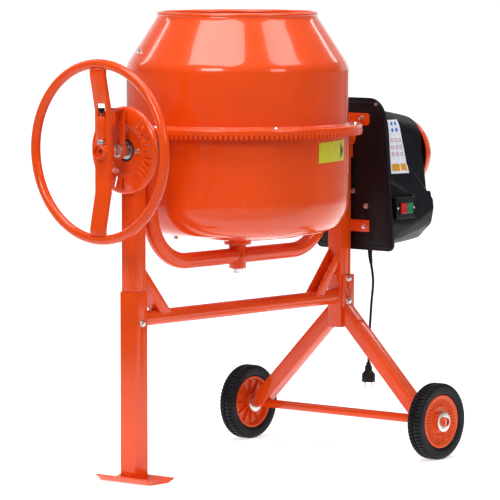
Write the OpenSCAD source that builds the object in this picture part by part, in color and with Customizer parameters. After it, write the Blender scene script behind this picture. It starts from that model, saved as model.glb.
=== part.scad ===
// Concrete mixer: tilting drum on a two-post frame with a foot, two wheels,
// a crown gear round the drum and a belt-driven pinion on the tilt axis.
// Millimetres, +Z up. X runs from the handwheel post to the motor post,
// Z = 0 is the floor, and Y = 0 is the plane of the two posts.

/* [Drum] */
// Outer radius of the lower drum
drum_r = 297; // [290:0.5:300]
// Thickness of the drum sheet
drum_t = 2.5; // [1.5:0.5:4]
// Outer radius at the rolled mouth (centre of the bead)
mouth_r = 207; // [195:1:215]
// Height of the mouth bead above the floor
mouth_z = 1199; // [1180:1:1215]
// Thickness of the rolled bead
bead_d = 13; // [8:0.5:16]
// Height where the cone meets the upper drum
cone_z = 1063; // [1050:1:1080]

/* [Ring gear and pinion] */
// Number of crown gear teeth
ring_teeth = 156; // [156]
// Number of pinion teeth
pinion_teeth = 14; // [14]
// Outer radius of the crown gear
ring_r = 331; // [331]
// Height of the flat top of the crown gear
ring_z = 910; // [910:0.5:912]
// Length of the teeth below the rim
tooth_h = 13.5; // [12.5:0.5:13.5]

/* [Frame] */
// Height of the tilt axis above the floor
tilt_z = 858; // [858]
// X position of the handwheel post
post_l = -407; // [-412:1:-405]
// X position of the motor post
post_r = 424; // [424:1:430]
// Side of the square post tube
post_w = 45; // [42:0.5:45.4]
// Side of the square leg sleeve
leg_w = 49.5; // [49.5:0.5:52]
// Diameter of the cross tube
cross_d = 40; // [34:1:42]
// Height of the cross tube
cross_z = 420; // [410:1:425]
// Diameter of the yoke tube
yoke_d = 42; // [38:1:42]
// Height of the yoke's bottom run
yoke_z = 559; // [556:1:562]

/* [Handwheel] */
// Radius of the hoop to the middle of its tube
hoop_r = 224; // [200:1:230]
// Diameter of the hoop tube
hoop_d = 25; // [20:0.5:28]
// How far the handwheel pulls out
pull = 12; // [8:1:14]

/* [Wheels] */
// Tyre radius
tyre_r = 103; // [98:1:106]
// Tyre width
tyre_w = 44; // [36:1:46]
// Distance between the middles of the two tyres
track = 666; // [650:1:680]
// Axle tube diameter
axle_d = 24; // [20:0.5:25]

/* [Motor] */
// How far the motor cover stands out along X
cover_x = 640; // [620:1:650]
// Radius of the round end cover
dome_r = 104; // [102:1:106]

/* [Cord] */
// Cord diameter
cord_d = 7; // [6:0.5:8]

/* [Hidden] */
$fn = 96;
hoop_x = -535;
dome_x = 686.2;
x_off = -(hoop_x - hoop_d/2 + dome_x)/2;
axle_x = 430;
axle_z = tyre_r;
pin_pr = 28.8;
mot_y = -42;
mot_z = 794;
cord_pts = [[475,-66,549],[475,-67,530],[475,-70,510],[475,-74,490],[475,-77,470],
            [475,-77,450],[475,-75,430],[475,-72,405],[475,-70,380],[475,-68,355],
            [475,-66,330],[475,-64,305],[475,-63,280],[475,-62,258],[475,-62,238]];

module at() translate([x_off,0,0]) children();
// bar along X from x0 to x1
module xcyl(x0,x1,r) translate([x0,0,0]) rotate([0,90,0]) cylinder(h=x1-x0, r=r);
// the same bar lying on the tilt axis
module tcyl(x0,x1,r) translate([0,0,tilt_z]) xcyl(x0,x1,r);
module sq(x,w,z0,z1) translate([x-w/2,-w/2,z0]) cube([w,w,z1-z0]);
// hexagon bolt, head up at z=0, shank down
module bolt(d,l) { cylinder(h=d*0.65, r=d*0.9, $fn=6); translate([0,0,-l]) cylinder(h=l+0.1, r=d/2); translate([0,0,-1.6]) cylinder(h=1.6, r=d*1.05); }
module hexnut(d) difference() { cylinder(h=d*0.8, r=d*0.95, $fn=6); translate([0,0,-1]) cylinder(h=d+2, r=d/2+0.02); }

// ---------- frame ----------
module left_post() color("orangered") at() difference() {
  sq(post_l, post_w, 300, tilt_z);
  translate([0,0,-1]) sq(post_l, post_w-5, 300, tilt_z+2);
  tcyl(post_l-40, post_l+40, 30.05);
  translate([post_l+4,0,411]) rotate([90,0,0]) cylinder(h=80, r=4.3, center=true);
}
module leg_sleeve() color("orangered") at() difference() {
  sq(post_l, leg_w, 4, 493);
  translate([0,0,-1]) sq(post_l, post_w+0.5, 4, 495);
  translate([post_l+4,0,411]) rotate([90,0,0]) cylinder(h=80, r=4.3, center=true);
}
module foot_plate() color("orangered") at() translate([post_l,88,0]) rotate([90,0,0])
  linear_extrude(176) polygon([[-34,0],[30,0],[56,8],[55,12],[29.4,4],[-33,4],[-48,17],[-51,14.5]]);
module cross_tube() color("orangered") at() translate([0,0,cross_z]) difference() {
  xcyl(post_l+leg_w/2, post_r-post_w/2, cross_d/2);
  xcyl(post_l, post_r, cross_d/2-2.5);
}
// one channel brace, from the post face down to a saddle on the cross tube
module gusset(s, xw) translate([xw,0,0]) mirror([s<0?1:0,0,0]) difference() {
  translate([0,19,0]) rotate([90,0,0]) linear_extrude(38)
    polygon([[0,552],[0,512],[62,430],[104,430]]);
  translate([0,15.5,0]) rotate([90,0,0]) linear_extrude(31)
    polygon([[-1,580],[-1,516],[69,425],[140,425],[140,440]]);
  translate([0,0,cross_z]) xcyl(-1, 200, cross_d/2+0.05);
}
module gussets() color("orangered") at() {
  gusset(1, post_l+post_w/2);
  gusset(-1, post_r-post_w/2);
}
module right_post() color("orangered") at() difference() {
  sq(post_r, post_w, 337, tilt_z);
  translate([0,0,-1]) sq(post_r, post_w-5, 337, tilt_z+2);
  tcyl(post_r-40, post_r+40, 30.05);
  for (z=[408,470]) translate([post_r+5,0,z]) rotate([90,0,0]) cylinder(h=80, r=4.3, center=true);
}
module bearing_housings() color("orangered") at() {
  difference() {
    union() {
      tcyl(post_l-24, post_l+24, 30);
      translate([post_l-26.5,-54,tilt_z-13]) cube([2.6,108,26]);
    }
    tcyl(post_l-25, post_l+25, 25);
    tcyl(post_l-30, post_l-24, 28.1);
    for (y=[-41,41]) translate([0,y,0]) tcyl(post_l-30, post_l-20, 3.6);
  }
  difference() { tcyl(post_r-24, post_r+24, 30); tcyl(post_r-25, post_r+25, 25); }
}
module pivot_bushes() color("black") at() for (x=[post_l,post_r]) difference() {
  union() { tcyl(x-24, x+24, 24.98); tcyl(x-27, x-24, 28); tcyl(x+24, x+27, 28); }
  tcyl(x-28, x+28, 23.05);
}
module wheel_bracket() color("orangered") at() difference() {
  translate([post_r-18,-post_w/2-4,392]) cube([50,post_w+8,88]);
  translate([post_r-19,-post_w/2-0.1,391]) cube([19+post_w/2+0.2,post_w+0.2,90]);
  for (z=[408,470]) translate([post_r+5,0,z]) rotate([90,0,0]) cylinder(h=80, r=4.3, center=true);
}
// square leg in the plane of the axle, s = -1 front, +1 rear
module leg(s) difference() {
  translate([axle_x-18,0,0]) rotate([90,0,90]) linear_extrude(38)
    polygon([[s*4,391.9],[s*26.4,391.9],[s*26.5,397],[s*296,axle_z+26],[s*296,axle_z-6],[s*272,axle_z-6],[s*24,344],[s*4,344]]);
  translate([axle_x-15.5,0,0]) rotate([90,0,90]) linear_extrude(33)
    polygon([[s*30,392],[s*292,axle_z+24],[s*285,axle_z+12],[s*262,axle_z+16],[s*30,360]]);
  translate([axle_x,0,axle_z]) rotate([90,0,0]) cylinder(h=700, r=axle_d/2+0.05, center=true);
  translate([post_r-post_w/2-2,-post_w/2-0.1,330]) cube([post_w+2.1,post_w+0.2,62]);
  translate([post_r-post_w/2-2,-post_w/2-4.1,391.9]) cube([54.1,post_w+8.2,62]);
}
module front_leg() color("orangered") at() leg(-1);
module rear_leg() color("orangered") at() leg(1);
module axle_tube() color("orangered") at() difference() {
  translate([axle_x,0,axle_z]) rotate([90,0,0]) cylinder(h=track+74, r=axle_d/2, center=true);
  translate([axle_x,0,axle_z]) rotate([90,0,0]) cylinder(h=track+80, r=axle_d/2-2.5, center=true);
  for (s=[-1,1]) translate([axle_x,s*(track/2+33.2),axle_z]) cylinder(h=60, r=2.1, center=true);
}
module axle_washers() color("silver") at() for (s=[-1,1], k=[-26.2,26.2])
  translate([axle_x,s*(track/2)+s*k,axle_z]) rotate([90,0,0]) difference() {
    cylinder(h=2.4, r=27, center=true); cylinder(h=5, r=axle_d/2+0.1, center=true); }
module cotter_pins() color("silver") at() for (s=[-1,1])
  translate([axle_x,s*(track/2+33.2),axle_z]) { translate([0,0,-19]) cylinder(h=36, r=1.9, $fn=24);
    translate([0,0,20]) rotate([0,90,0]) rotate_extrude($fn=32) translate([3.4,0]) circle(r=1.7,$fn=24); }
module frame_bolts() color("silver") at() {
  translate([post_l+4,-leg_w/2-1.6,411]) rotate([90,0,0]) bolt(8.4, leg_w+12);
  translate([post_l+4,leg_w/2,411]) rotate([-90,0,0]) hexnut(8.4);
  for (z=[408,470]) {
    translate([post_r+5,-post_w/2-5.6,z]) rotate([90,0,0]) bolt(8.4, post_w+18);
    translate([post_r+5,post_w/2+4,z]) rotate([-90,0,0]) hexnut(8.4);
  }
  for (y=[-41,41]) translate([post_l-post_w/2-8.6, y, tilt_z]) rotate([0,-90,0]) bolt(7, 8);
  for (p=[[449.5,-57,908],[449.5,-65,613]]) translate(p-[1.6,0,0]) rotate([0,-90,0]) bolt(7, 15);
  for (p=[[456,-57,908],[456,-65,613]]) translate(p) rotate([0,90,0]) hexnut(7);
  for (p=[[453,-69.8,668.4],[453,-23.9,707.2]]) translate(p-[1.6,0,0]) rotate([0,-90,0]) bolt(7, 16);
  translate([451.4,-105.5,946.2]) rotate([0,-90,0]) bolt(4.5, 10);
}
// index disc: dished middle, flat ring with radial slots, rolled rim
module index_disc() color("orangered") at() translate([post_l-post_w/2-4,0,tilt_z]) rotate([0,-90,0]) difference() {
  rotate_extrude($fn=128) polygon([[29,0],[58,0],[68,11],[104,11],[108.5,8.5],[110,3],[113,3],[111.5,10],[106,14],[66.5,14],[56.5,3],[29,3]]);
  for (a=[each [217:10.6:323], 163, 180]) rotate([0,0,a-180]) translate([0,0,5]) {
     translate([-73,0,0]) cylinder(h=20, r=2.7, center=true);
     translate([-97,0,0]) cylinder(h=20, r=2.7, center=true);
     translate([-97,-2.7,-10]) cube([24,5.4,20]); }
  for (a=[-17,-9,11]) rotate([0,0,a]) translate([0,98,0]) cylinder(h=40, r=2.5, center=true);
  for (a=[0,180]) rotate([0,0,a+90]) translate([41,0,0]) cylinder(h=10, r=3.6, center=true);
}
// ---------- motor side ----------
module rounded(x0,x1,pts) hull() for (p=pts) translate([x0,p[0],p[1]]) rotate([0,90,0]) cylinder(h=x1-x0, r=p[2], $fn=32);
plate_pts = [[-147,566,18],[-79,908,55],[47,908,55],[87,566,18]];
nose_x = cover_x - 18;
module loft(o, x0, x1) hull() {
  for (p=[[-130,575,20],[-78,893,50],[36,893,50],[70,575,20]]) translate([x0,p[0],p[1]]) rotate([0,90,0]) cylinder(h=2, r=p[2]+o, $fn=32);
  for (p=[[-131,660,25],[-124,625,25],[-98,597,25],[-64,836,69],[18,840,64],[50,602,30]]) translate([x1-2,p[0],p[1]]) rotate([0,90,0]) cylinder(h=2, r=p[2]+o, $fn=32);
}
module back_plate() color("black") at() difference() {
  rounded(453, 459, plate_pts);
  rounded(456, 460, [for (p=plate_pts) [p[0],p[1],p[2]-6]]);
  tcyl(450, 470, 29);
  for (p=[[-57,908],[-65,613],[-69.8,668.4],[-23.9,707.2]]) translate([445,p[0],p[1]]) rotate([0,90,0]) cylinder(h=20, r=3.6);
  translate([445,-105.5,946.2]) rotate([0,90,0]) cylinder(h=20, r=2.3);
}
module housing_cover() color("black") at() difference() {
  difference() { loft(0, 459.1, cover_x); translate([nose_x,-200,690]) cube([60,400,300]); }
  difference() { loft(-3, 457, cover_x-3); translate([nose_x-3,-200,687]) cube([60,400,300]); }
  translate([nose_x-10,mot_y,mot_z]) rotate([0,90,0]) cylinder(h=30, r=82);
  translate([473.1,-170,634.9]) cube([80.2,40,59.2]);
  translate([475,-66,545]) cylinder(h=30, r=9.1);
}
module end_cover() color("orangered") at() translate([nose_x+0.2,mot_y,mot_z+10]) rotate([0,90,0]) difference() {
  rotate_extrude() polygon([[0,64],[31,62.7],[57,57.5],[77,48.4],[90.5,36.3],[98.8,22.5],[dome_r-1,10.5],[dome_r,3.5],[dome_r,0],[dome_r-3,0],[dome_r-4,9.5],[95.7,21.5],[88,34.3],[75,45.8],[55.6,54.6],[30.5,59.7],[0,61]]);
  for (a=[-20:20:100]) rotate([0,0,a]) translate([42,-2.5,40]) cube([22,5,30]);
}
module mount_brackets() color("orangered") at() {
  difference() {
    union() {
      hull() { translate([449.5,-60,888]) cube([3.5,82.5,33]); for (z=[897,912]) translate([449.5,-73,z]) rotate([0,90,0]) cylinder(h=3.5, r=9, $fn=40); }
      translate([449.5,-22.5,800]) cube([3.5,45,90]);
      translate([446.5,-22.5,800]) cube([3.1,45,27]);
      tcyl(449.5, 453, 34);
      tcyl(448, 449.6, 30);
    }
    tcyl(440, 460, 28.2);
    translate([445,-57,908]) rotate([0,90,0]) cylinder(h=20, r=3.6);
  }
  difference() {
    union() { translate([449.5,-82,598]) cube([3.5,104.5,32]); translate([446.5,-22.5,598]) cube([3.1,45,32]); }
    translate([445,-65,613]) rotate([0,90,0]) cylinder(h=20, r=3.6);
  }
}
module motor_body() color("dimgray") at() difference() {
  union() {
    translate([512,mot_y,mot_z]) rotate([0,90,0]) cylinder(h=112, r=58);
    translate([624,mot_y,mot_z]) rotate([0,90,0]) cylinder(h=16, r=52);
    for (a=[0:30:330]) translate([520,mot_y,mot_z]) rotate([a,0,0]) translate([0,-1.5,57]) cube([96,3,5]);
    translate([530,mot_y-62,mot_z-66]) cube([60,40,30]);
    // mounting foot and its two standoffs
    translate([506,-92,655]) cube([6.1,97,110]);
    translate([506,-10,618]) cube([6,52,60]);
    for (p=[[-69.8,668.4],[-23.9,707.2]]) translate([0,p[0],p[1]]) xcyl(456, 506.1, 8);
  }
  for (p=[[-69.8,668.4],[-23.9,707.2]]) translate([0,p[0],p[1]]) xcyl(455, 472, 3.55);
  translate([505,mot_y,mot_z]) rotate([0,90,0]) cylinder(h=60, r=10.05);
}
module capacitor() color("silver") at() translate([512,20,640]) rotate([0,90,0]) { cylinder(h=84, r=20); translate([0,0,84]) cylinder(h=6, r=8); }
module switch_box() color("black") at() difference() {
  translate([473.2,-161,635]) cube([80,20,59]);
  translate([488.4,-165,648]) cube([51.2,19,31]);
}
module start_button() color("green") at() translate([514.7,-166,649]) cube([24,12,29]);
module stop_button() color("red") at() translate([489.2,-166,649]) cube([24,12,29]);
module cord_gland() color("black") at() translate([475,-66,0]) { translate([0,0,549]) cylinder(h=6.2, r=11); translate([0,0,555]) cylinder(h=12, r=9); translate([0,0,562]) cylinder(h=5, r=13, $fn=6); }
module plug() color("black") at() translate([475,-62,238]) rotate([180,0,0]) {
  cylinder(h=10, r1=6, r2=8); translate([0,0,10]) cylinder(h=14, r=11);
  translate([0,0,24]) cylinder(h=10, r1=12, r2=18.5); translate([0,0,34]) cylinder(h=20, r=18.5);
  for (s=[-1,1]) rotate([0,0,37]) translate([s*9.5,0,54]) cylinder(h=19, r=2.4, $fn=24);
}
// belt loop round both pulleys
module belt_loop(ra, rb) hull() { translate([0,tilt_z]) circle(r=ra, $fn=80); translate([mot_y,mot_z]) circle(r=rb, $fn=80); }
module drive_belt() color("black") at() translate([472,0,0]) rotate([90,0,90]) linear_extrude(14) difference() { belt_loop(59.6, 15.6); belt_loop(56.3, 12.3); }
module small_pulley() color("silver") at() translate([0,mot_y,mot_z]) { xcyl(470, 488, 12); xcyl(488, 491, 14); xcyl(491, 545, 10); }
module large_pulley() color("silver") at() translate([0,0,tilt_z]) difference() {
  union() { xcyl(471, 487, 56); xcyl(468, 471, 60); xcyl(487, 490, 60); }
  for (a=[0:60:300]) rotate([a,0,0]) translate([460,0,34]) rotate([0,90,0]) cylinder(h=40, r=11);
  xcyl(460, 500, 10.02);
}
// ---------- yoke ----------
yl = -345; yr = 362; yb = 140;
module yoke_solid(r) {
  translate([yl,0,yoke_z+yb]) cylinder(h=tilt_z-yoke_z-yb, r=r);
  translate([yr,0,yoke_z+yb]) cylinder(h=tilt_z-yoke_z-yb, r=r);
  translate([yl+yb,0,yoke_z+yb]) rotate([90,0,0]) rotate([0,0,180]) rotate_extrude(angle=90) translate([yb,0]) circle(r=r,$fn=64);
  translate([yr-yb,0,yoke_z+yb]) rotate([90,0,0]) rotate([0,0,270]) rotate_extrude(angle=90) translate([yb,0]) circle(r=r,$fn=64);
  translate([0,0,yoke_z]) xcyl(yl+yb, yr-yb, r);
}
module yoke_tube() color("orangered") at() difference() {
  yoke_solid(yoke_d/2);
  yoke_solid(yoke_d/2-3);
  translate([0,0,yoke_z-60]) cylinder(h=120, r=23.05);
  translate([0,0,tilt_z]) xcyl(-420,-300,23.05);
  translate([0,0,tilt_z]) xcyl(300,420,23.05);
}
module spindle_boss() color("orangered") at() difference() {
  translate([0,0,526]) cylinder(h=61, r=23);
  translate([0,0,520]) cylinder(h=80, r=19);
}
module spindle_bearings() color("silver") at() for (z=[526,574]) translate([0,0,z]) difference() {
  cylinder(h=13, r=18.98); translate([0,0,-1]) cylinder(h=20, r=12.55); }
module left_pivot_shaft() color("silver") at() translate([0,0,tilt_z]) {
  xcyl(-434.5, -330, 23); xcyl(-459, -434.5, 15); xcyl(-522, -459, 7.9);
}
module pivot_nut() color("silver") at() translate([0,0,tilt_z]) difference() {
  union() { xcyl(-466, -464.1, 16); translate([-478,0,0]) rotate([0,90,0]) cylinder(h=12, r=13.5, $fn=6); }
  xcyl(-480,-460,7.95);
}
// arm bolted to the shaft; the lock key on the handwheel passes through it
module drive_arm() color("orangered") at() difference() {
  union() {
    translate([-464,-20,tilt_z]) cube([5,40,100]);
    translate([0,0,tilt_z]) xcyl(-464,-459,22);
    translate([-469,-20,tilt_z+100]) rotate([-90,0,0]) rotate([0,0,-90]) rotate_extrude(angle=90,$fn=64) translate([5,0]) square([5,40]);
    translate([-487,-20,tilt_z+105]) cube([18,40,5]);
  }
  translate([0,0,tilt_z]) xcyl(-470,-450,8);
  translate([-475,-5.5,tilt_z+72]) cube([20,11,26]);
}
module right_pivot_tube() color("orangered") at() translate([0,0,tilt_z]) difference() {
  xcyl(339, 456, 23); xcyl(338, 458, 19);
}
module shaft_bearings() color("silver") at() translate([0,0,tilt_z]) for (x=[341,440]) difference() {
  xcyl(x, x+13, 18.98); xcyl(x-1, x+14, 10.05); }
module drive_shaft() color("silver") at() translate([0,0,tilt_z]) { xcyl(308, 494, 10); xcyl(333.2, 338.4, 13); xcyl(455, 466, 13); }
module pinion() color("silver") at() translate([314,0,tilt_z]) rotate([0,90,0]) difference() {
  linear_extrude(16) polygon([for (i=[0:pinion_teeth-1], k=[[21,-2.8],[33.3,-1.5],[33.3,1.5],[21,2.8]])
     let(a=360/pinion_teeth*i+180, z=sqrt(k[0]*k[0]-k[1]*k[1])) [z*cos(a)-k[1]*sin(a), z*sin(a)+k[1]*cos(a)]]);
  translate([0,0,-1]) cylinder(h=20, r=10.02);
}
// ---------- handwheel ----------
module handwheel_hoop() color("orangered") at() translate([hoop_x,0,tilt_z]) rotate([0,90,0]) rotate_extrude($fn=128) translate([hoop_r,0]) circle(r=hoop_d/2,$fn=48);
module strap_side(t0,t1) polygon([[-545,-213],[-545,-195],[-525.5,-104],[-525.5,104],[-545,195],[-545,213],[-545+t1,213],[-545+t1,195],[-525.5+t1,104],[-525.5+t1,-104],[-545+t1,-195],[-545+t1,-213]]);
module handwheel_strap() color("orangered") at() translate([0,0,tilt_z]) difference() {
  union() {
    translate([0,24,0]) rotate([90,0,0]) linear_extrude(48) strap_side(0,3);
    for (y=[-21,24]) translate([0,y,0]) rotate([90,0,0]) linear_extrude(3) strap_side(0,11);
    // lock key
    for (y=[-24,21]) translate([-514.6,y,67]) cube([13.6,3,36]);
    translate([-505,-24,67]) cube([4,48,36]);
    translate([-501.1,-4,75]) cube([47.6,8,20]);
  }
  xcyl(-560,-500,18.55);
  translate([-560,-13,15]) cube([40,26,108]);
  translate([hoop_x,0,0]) rotate([0,90,0]) rotate_extrude($fn=128) translate([hoop_r,0]) circle(r=hoop_d/2+0.05,$fn=48);
}
module handwheel_hub() color("orangered") at() translate([0,0,tilt_z]) difference() {
  xcyl(-541, -497, 18.5); xcyl(-542,-531.5,15.5); xcyl(-532,-490,8);
  translate([-526.6,0,5]) cylinder(h=25, r=3.5);
}
module plunger_sleeve() color("orangered") at() translate([-526.6,0,0]) difference() {
  translate([0,0,889]) cylinder(h=59, r=12.4); translate([0,0,880]) cylinder(h=59, r=8.5); translate([0,0,930]) cylinder(h=30, r=4.1);
}
module plunger_nut() color("silver") at() translate([-526.6,0,0]) difference() {
  translate([0,0,877.5]) cylinder(h=11.4, r=11.5, $fn=6); translate([0,0,870]) cylinder(h=30, r=3.5);
}
module plunger_pin() color("silver") at() translate([-526.6,0,0]) { translate([0,0,866.6]) cylinder(h=90, r=3); translate([0,0,890]) cylinder(h=4, r=7); }
module plunger_knob() color("black") at() translate([-526.6,0,956.7]) { cylinder(h=5, r=4.5); translate([0,0,5]) cylinder(h=8, r=8.5); }
// ---------- drum ----------
// seats of the four blade bolts, +Z outward from the sheet
module blade_seats() for (a=[148,328]) rotate([0,0,a]) {
  translate([172,10,614.1]) rotate([0,166,0]) children();
  translate([269.5,10,1102]) rotate([0,57,0]) children();
}
module drum_bowl() color("orangered") at() difference() { bowl_sheet(); blade_seats() translate([0,0,-6]) cylinder(h=12, r=3.6); }
module bowl_sheet() rotate_extrude()
  polygon(concat([[26,601],[72,601],[168,613],[206,622.5]],
    [for (a=[-84:6:0]) [drum_r-87+87*cos(a), 710+87*sin(a)]], [[drum_r,893],[drum_r-drum_t,893]],
    [for (a=[0:-6:-84]) [drum_r-87+(87-drum_t)*cos(a), 710+(87-drum_t)*sin(a)]],
    [[206,622.5+drum_t],[168,613+drum_t],[72,601+drum_t],[26,601+drum_t]]));
module drum_cone() color("orangered") at() difference() { cone_sheet(); blade_seats() translate([0,0,-6]) cylinder(h=12, r=3.6); }
module cone_sheet() rotate_extrude() let(t = drum_t, c = drum_r-3) {
  polygon([[c,910],[c,cone_z-8],[c-2.5,cone_z+3],[c-8,cone_z+14],[mouth_r+3,mouth_z-5],[mouth_r+3-t,mouth_z-5],[c-8-t,cone_z+13],[c-2.5-t,cone_z+2],[c-t,cone_z-8],[c-t,893.1],[c,893.1]]);
  translate([mouth_r,mouth_z]) circle(r=bead_d/2,$fn=32);
}
module ring_gear() color("orangered") at() difference() {
  union() {
    translate([0,0,ring_z-13.5]) rotate_extrude($fn=156) polygon([[298,-3.4],[306,-3.4],[306,0],[331,0],[331,11.5],[329,13.5],[294.2,13.5],[294.2,-3.3],[298,-3.4]]);
    translate([0,0,ring_z-13.5-tooth_h]) linear_extrude(tooth_h+0.2) for (i=[0:ring_teeth-1]) rotate([0,0,360/ring_teeth*(i+0.5)])
      polygon([[313,-2.1],[330.5,-2.1],[330.5,2.1],[313,2.1]]);
  }
  for (i=[0:5]) rotate([0,0,i*60-0.6]) translate([317,0,ring_z-20]) cylinder(h=30, r=3.2);
  rotate([0,0,360/ring_teeth*20]) translate([-400,-0.25,ring_z-40]) cube([800,0.5,60]);
}
// mixing blade standing in the drum, following its wall
module blade() translate([0,2,0]) rotate([90,0,0]) linear_extrude(4) polygon([
  [150,616.5],[168,618],[206,627.5],[250,642],[282,680],[288,712],[288,1056],[279,1075],[232,1150],[200,1128],
  [236,1060],[244,1040],[240,960],[226,860],[226,740],[214,700],[186,672],[150,662]]);
module mixing_blades() color("orangered") at() difference() {
  for (a=[148,328]) rotate([0,0,a]) {
    blade();
    translate([160,1.9,615.9]) rotate([0,-10.3,0]) cube([28,16,3]);
    translate([262,1.9,1102]) rotate([0,57,0]) translate([-14,0,0.2]) cube([28,16,3]);
  }
  blade_seats() translate([0,0,-14]) cylinder(h=18, r=3.6);
}
module drum_bolts() color("silver") at() {
  for (i=[0:5]) rotate([0,0,i*60-0.6]) translate([317,0,ring_z+1.6]) bolt(6.2, 14);
  blade_seats() { translate([0,0,2]) bolt(7, 15); translate([0,0,-13.2]) hexnut(7); }
}
module drum_flange() color("orangered") at() difference() {
  union() { translate([0,0,589]) cylinder(h=11.9, r=36.5); translate([0,0,600]) cylinder(h=8, r=25.9); }
  translate([0,0,580]) cylinder(h=40, r=12.55);
}
module drum_spindle() color("silver") at() { translate([0,0,516]) cylinder(h=92, r=12.5); translate([0,0,608]) cylinder(h=5, r=20); }
module spindle_nut() color("silver") at() difference() {
  union() { translate([0,0,523.4]) cylinder(h=2.4, r=17); translate([0,0,513]) cylinder(h=10.4, r=15, $fn=6); }
  translate([0,0,500]) cylinder(h=40, r=12.55);
}
// ---------- wheels ----------
module tyre(y) translate([axle_x,y,axle_z]) rotate([90,0,0]) rotate_extrude($fn=144) difference() {
  polygon([[72,-15],[78,-21],[92,-22],[99,-20],[103,-15],[103,-2],[99.5,-1.5],[99.5,1.5],[103,2],[103,15],[99,20],[92,22],[78,21],[72,15]]);
  *circle(r=1);
}
module wheel_rim(y) translate([axle_x,y,axle_z]) rotate([90,0,0]) difference() {
  rotate_extrude() polygon([[axle_d/2+0.05,-24.8],[22,-24.8],[22,-10],[56,-10],[64,-18],[71.9,-18],[71.9,18],[64,18],[56,10],[22,10],[22,24.8],[axle_d/2+0.05,24.8]]);
  for (a=[0:10:350]) rotate([0,0,a]) translate([44,0,8.5]) cube([20,2.6,4], center=true);
}
module tyre_left() color("black") at() tyre(track/2);
module rim_left() color("orangered") at() wheel_rim(track/2);
module tyre_right() color("black") at() tyre(-track/2);
module rim_right() color("orangered") at() wheel_rim(-track/2);
// ---------- cord ----------
function unit(v) = v/norm(v);
cn = 8;
function cord_ring(i) = let(n=len(cord_pts), a=cord_pts[max(i-1,0)], b=cord_pts[min(i+1,n-1)], t=(i==0||i==n-1)?[0,0,-1]:unit(b-a), u=[1,0,0], w=cross(t,u))
  [for (k=[0:cn-1]) cord_pts[i] + cord_d/2*(cos(360/cn*k)*u + sin(360/cn*k)*unit(w))];
module cord() color("black") at() let(n = len(cord_pts))
  polyhedron(points=[for (i=[0:n-1]) each cord_ring(i)],
    faces=concat([[for (k=[0:cn-1]) k]], [[for (k=[cn-1:-1:0]) (n-1)*cn+k]],
      [for (i=[0:n-2], k=[0:cn-1]) [i*cn+k, (i+1)*cn+k, (i+1)*cn+(k+1)%cn, i*cn+(k+1)%cn]]));

left_post();
leg_sleeve();
foot_plate();
cross_tube();
gussets();
right_post();
bearing_housings();
pivot_bushes();
wheel_bracket();
front_leg();
rear_leg();
axle_tube();
axle_washers();
cotter_pins();
frame_bolts();
index_disc();
back_plate();
housing_cover();
end_cover();
mount_brackets();
motor_body();
capacitor();
switch_box();
cord_gland();
cord();
plug();
drive_belt();
yoke_tube();
spindle_boss();
spindle_bearings();
left_pivot_shaft();
right_pivot_tube();
shaft_bearings();
pivot_nut();
drive_arm();
handwheel_hoop();
handwheel_strap();
handwheel_hub();
plunger_sleeve();
plunger_nut();
plunger_pin();
plunger_knob();
drum_bowl();
drum_cone();
ring_gear();
mixing_blades();
drum_bolts();
drum_flange();
drum_spindle();
spindle_nut();
pinion();
drive_shaft();
large_pulley();
small_pulley();
tyre_left();
rim_left();
tyre_right();
rim_right();
start_button();
stop_button();
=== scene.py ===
import bpy, math
from mathutils import Vector, Matrix, noise


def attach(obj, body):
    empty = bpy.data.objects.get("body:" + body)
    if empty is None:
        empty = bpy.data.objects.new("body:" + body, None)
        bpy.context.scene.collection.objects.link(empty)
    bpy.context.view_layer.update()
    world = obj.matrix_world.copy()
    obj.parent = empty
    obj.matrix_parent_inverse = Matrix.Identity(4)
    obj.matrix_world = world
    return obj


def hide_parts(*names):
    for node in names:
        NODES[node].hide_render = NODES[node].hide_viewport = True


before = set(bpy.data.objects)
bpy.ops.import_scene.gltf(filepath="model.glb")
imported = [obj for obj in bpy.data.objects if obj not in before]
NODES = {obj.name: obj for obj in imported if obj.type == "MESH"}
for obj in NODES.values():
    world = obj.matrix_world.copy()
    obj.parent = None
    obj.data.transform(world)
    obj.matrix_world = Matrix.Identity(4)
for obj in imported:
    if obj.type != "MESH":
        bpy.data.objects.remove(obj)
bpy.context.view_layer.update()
scene = bpy.context.scene

# ------------------------------------------------------------------ frame
# Lengths below are in millimetres in the machine's design frame: X from the
# handwheel post to the motor post with the drum's axis at X = 0.
XO = -69.35


def M(p):
    return Vector(((p[0] + XO) / 1000.0, p[1] / 1000.0, p[2] / 1000.0))


pi, cos, sin, sqrt = math.pi, math.cos, math.sin, math.sqrt
TILT = 858.0
PL, PR = -407.0, 424.0


def smooth(a, b, x):
    t = max(0.0, min(1.0, (x - a) / (b - a)))
    return t * t * (3 - 2 * t)


# ------------------------------------------------------------------ camera
cam_data = bpy.data.cameras.new("camera")
cam = bpy.data.objects.new("camera", cam_data)
scene.collection.objects.link(cam)
cam.location = M((-7909.4, -6875.5, 1471.0))
target = M((21.7, -24.9, 573.4))
cam.rotation_euler = (target - cam.location).to_track_quat("-Z", "Y").to_euler()
cam_data.sensor_width = 36.0
cam_data.lens = 285.84
cam_data.clip_end = 100
scene.camera = cam


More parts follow.
